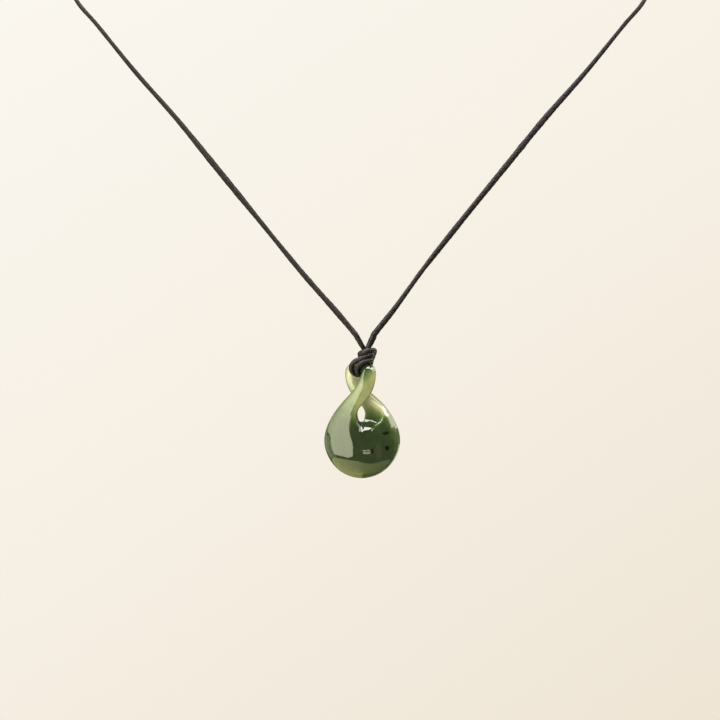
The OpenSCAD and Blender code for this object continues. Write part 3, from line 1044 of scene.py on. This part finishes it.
# %% The light of the room
world = bpy.data.worlds.new("room")
world.use_nodes = True
world_light = world.node_tree.nodes["Background"]
world_light.inputs["Color"].default_value = (1.0, 0.95, 0.88, 1)
world_light.inputs["Strength"].default_value = 0.9
bpy.context.scene.world = world
bpy.context.scene.view_settings.view_transform = "Standard"
MIDDLE_HEIGHT = 12.0
STONE_MIDDLE = Vector((STONE_FOOT + [0.0, 0.0, MIDDLE_HEIGHT]) * MM)
print("lit round", [round(x, 3) for x in STONE_MIDDLE])


def from_stone(azimuth, elevation, distance):
    """A place seen from the stone: degrees to the right of the camera, degrees up, metres."""
    a, e = math.radians(azimuth), math.radians(elevation)
    way = Vector((math.sin(a) * math.cos(e), -math.cos(a) * math.cos(e), math.sin(e)))
    return STONE_MIDDLE + way * distance


def softbox(name, place, aim, width, height, radiance, colour=(1, 1, 1)):
    """A rectangular light at a place, turned to its aim, with the given brightness."""
    data = bpy.data.lights.new(name, "AREA")
    data.shape = "RECTANGLE"
    data.size = width
    data.size_y = height
    data.energy = radiance * math.pi * width * height
    data.color = colour
    light = bpy.data.objects.new(name, data)
    light.location = place
    light.rotation_euler = (Vector(aim) - Vector(place)).to_track_quat("-Z", "Y").to_euler()
    light.visible_camera = False
    light.visible_glossy = False
    bpy.context.scene.collection.objects.link(light)
    print(name, "at", [round(x, 2) for x in place])


SOFTBOX_AWAY = 0.8
RAISED = Vector((0.0, 0.0, 0.46))
softbox("left_softbox", from_stone(-37.5, 0, SOFTBOX_AWAY) + RAISED, STONE_MIDDLE + RAISED,
        width=0.73, height=1.66, radiance=1.5, colour=(1.0, 0.99, 0.96))
softbox("back_softbox", from_stone(110, 35, SOFTBOX_AWAY), STONE_MIDDLE,
        width=0.8, height=0.5, radiance=0.8)
softbox("top_softbox", from_stone(-120, 74, SOFTBOX_AWAY), STONE_MIDDLE,
        width=0.6, height=0.6, radiance=0.8)

# %% [markdown]
# ## What the polished stone mirrors
# Most of what the eye takes for polish is the picture of the room in the stone, and it is also
# what shows the form. In a studio, softboxes, white paper and black cloth are moved about until
# their reflections look right. Here glowing cards take their place. They are bowed round the
# stone, and only reflections see them. The card on the left gives the long pale patch down the
# drop. The cards behind and above give the shine on the rims and on the ring. The floor gives the
# olive band at the foot, and the small window the spot with panes. Dark cloth at the camera's
# side keeps the rest deep green. A nearer card hides the cards behind it.

# %% A card that only reflections see
CARD_ROWS = 12
CARD_COLUMNS = 40


def bowed_card(name, columns, distance, colour):
    """A glowing card bowed round the stone at this distance in metres. Each column of its
    outline has its azimuth, its lowest and highest elevation, all in degrees, and its glow: one
    number, or one for its lower end and one for its upper end."""
    # A column with one number for its glow gets it at both ends.
    outline = np.array([(*column, column[3])[:5] for column in columns], float)
    azimuths = np.linspace(outline[0, 0], outline[-1, 0], CARD_COLUMNS)
    azimuths = np.unique(np.concatenate([azimuths, outline[:, 0]]))
    low, high, low_glow, high_glow = (np.interp(azimuths, outline[:, 0], outline[:, k])
                                      for k in (1, 2, 3, 4))
    corners = [from_stone(a, bottom + (top - bottom) * r / CARD_ROWS, distance)
               for a, bottom, top in zip(azimuths, low, high) for r in range(CARD_ROWS + 1)]
    next_column = CARD_ROWS + 1
    faces = [(k * next_column + r, k * next_column + r + 1,
              (k + 1) * next_column + r + 1, (k + 1) * next_column + r)
             for k in range(len(azimuths) - 1) for r in range(CARD_ROWS)]
    piece = new_piece(name, corners, faces)
    rows = np.linspace(0, 1, next_column)
    power = low_glow[:, None] * (1 - rows) + high_glow[:, None] * rows
    note_on_points(piece, "power", power.ravel())
    material, tree, glowing = glowing_material(name)
    glowing.inputs["Color"].default_value = (*colour, 1)
    tree.links.new(read_note(tree, "power"), glowing.inputs["Strength"])
    piece.data.materials.append(material)
    piece.visible_camera = False
    piece.visible_diffuse = False
    piece.visible_shadow = False
    piece.visible_transmission = False


print("cards of", CARD_ROWS, "rows, and at least", CARD_COLUMNS, "columns of points")

# %% The cards round the stone
bowed_card("dark_cloth", [(-104, -36, 89, 1), (104, -36, 89, 1)], 1.2, (0.03, 0.028, 0.025))
bowed_card("tan_wall_left", [(-180, -40, 62, 0.40), (-104, -40, 62, 0.34)], 1.22,
           (0.98, 0.92, 0.66))
bowed_card("tan_wall_right", [(104, -40, 62, 0.34), (180, -40, 62, 0.40)], 1.22,
           (1.0, 0.88, 0.66))
bowed_card("dark_cloth_low", [(104, -46, -9, 1), (134, -46, -9, 1)], 1.1, (0.05, 0.05, 0.035))
bowed_card("mirrored_softbox", [
    (-150, 14, 40, 0.8), (-119, 17, 46, 1.5), (-104, 12, 50, 2.4), (-80, 6, 50, 4.4),
    (-70, 0, 50, 5.0), (-64, -25, 48, 5.2, 6.2), (-30, -26, 24, 5.2, 6.2), (-19, -22, 12, 5.2, 6.0),
    (-16, -18, 6.5, 5.2, 6.0), (-12, -11, 4, 5.2, 5.8), (-6, -4, 2.5, 5.2, 5.6), (-3, -1, 2, 5.0),
], 0.9, (1.0, 0.99, 0.70))
bowed_card("paper_on_the_left", [(-128, -12, 8, 0.9), (-100, -30, 6, 1.1), (-64, -30, 2, 1.2)], 1.0,
           (0.95, 1.0, 0.72))
bowed_card("mirrored_back_light", [
    (60, 28, 44, 4.6), (70, 27, 44, 4.8), (95, 27, 42, 5.0), (102, 27, 50, 5.4), (112, 22, 52, 5.4),
    (122, 13, 52, 4.2), (140, 13, 50, 2.5), (155, 13, 46, 1.5),
], 0.9, (1.0, 0.97, 0.86))
bowed_card("mirrored_top_light", [
    (-178, 60, 88, 9), (-140, 52, 88, 9), (-95, 56, 88, 12), (-75, 50, 80, 14), (-60, 54, 80, 14),
    (-30, 60, 76, 14), (0, 62, 78, 14), (20, 60, 79, 14), (29, 57, 64, 13), (45, 46, 61, 12),
    (60, 44, 61, 12), (80, 40, 60, 12), (95, 36, 54, 10),
], 0.95, (1.0, 0.99, 0.94))
bowed_card("mirrored_floor", [
    (-180, -88, -38, 1.2), (-120, -88, -34, 2.4), (-74, -88, -30, 2.8), (-40, -88, -30, 2.6),
    (-10, -88, -29, 1.9), (3, -88, -33, 1.5), (28, -88, -38, 1.1), (60, -88, -36, 0.9),
    (100, -88, -48, 0.7), (128, -88, -48, 0.3), (180, -88, -36, 0.3),
], 0.95, (1.0, 0.96, 0.42))
bowed_card("paper_behind", [(136, -30, -6, 1.0), (150, -34, -4, 1.5), (176, -34, -4, 1.9)], 0.95,
           (1.0, 0.96, 0.70))
print("cards for the lights, the dark cloth, the walls and the floor")

# %% The small window
PANE_AWAY = 0.96
# Each pane by its columns: azimuth, lowest and highest elevation, and glow.
WINDOW = [
    [(2.4, -2.8, -1.0, 6.0), (3.7, -2.8, 0.3, 6.0)],
    [(4.2, -2.9, 0.8, 5.0), (5.0, -3.0, -0.9, 5.0), (6.1, -3.7, -3.6, 5.0)],
    [(1.4, -9.4, -8.6, 5.6), (2.3, -9.2, -4.4, 5.6), (3.7, -9.0, -4.2, 5.6)],
    [(4.2, -9.2, -4.4, 4.4), (6.6, -9.4, -5.0, 4.4), (7.9, -9.9, -9.4, 4.4)],
]
for number, columns in enumerate(WINDOW, 1):
    bowed_card("window_pane_%d" % number, columns, PANE_AWAY, (1.0, 0.9, 0.68))
print("a window of", len(WINDOW), "panes")
